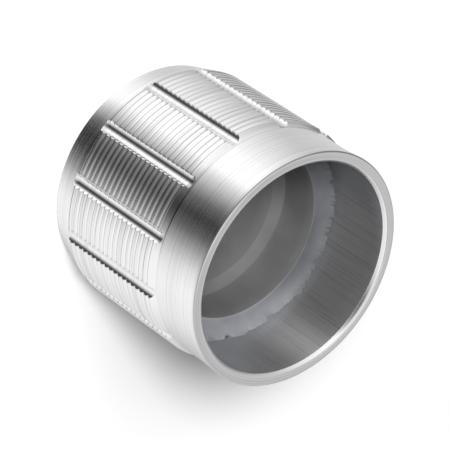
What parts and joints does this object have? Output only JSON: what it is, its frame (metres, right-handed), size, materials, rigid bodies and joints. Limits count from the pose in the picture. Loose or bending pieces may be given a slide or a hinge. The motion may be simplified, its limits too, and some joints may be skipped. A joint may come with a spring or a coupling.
{
  "type": "potentiometer knob",
  "caption": "Round turned aluminium knob with a ribbed and fluted grip, a plain collar, a deep bored mouth and a grey insert with a socket for a round shaft.",
  "frame": {"origin": "centre of the closed end's flat outer face, which the knob stands on", "axes": "+Z along the knob's axis from the closed end to the mouth; +X through the bottom of one flute"},
  "size_m": [0.0254, 0.0254, 0.023],
  "materials": {
    "turned_aluminium": "turned bright, fine circular tool marks",
    "grey_plastic": "smooth satin moulding",
    "cured_adhesive": "smooth, slightly bluish grey"
  },
  "bodies": {
    "root": {"knob_shell": "turned_aluminium", "shaft_insert": "grey_plastic", "adhesive_ring": "cured_adhesive"}
  },
  "joints": []
}
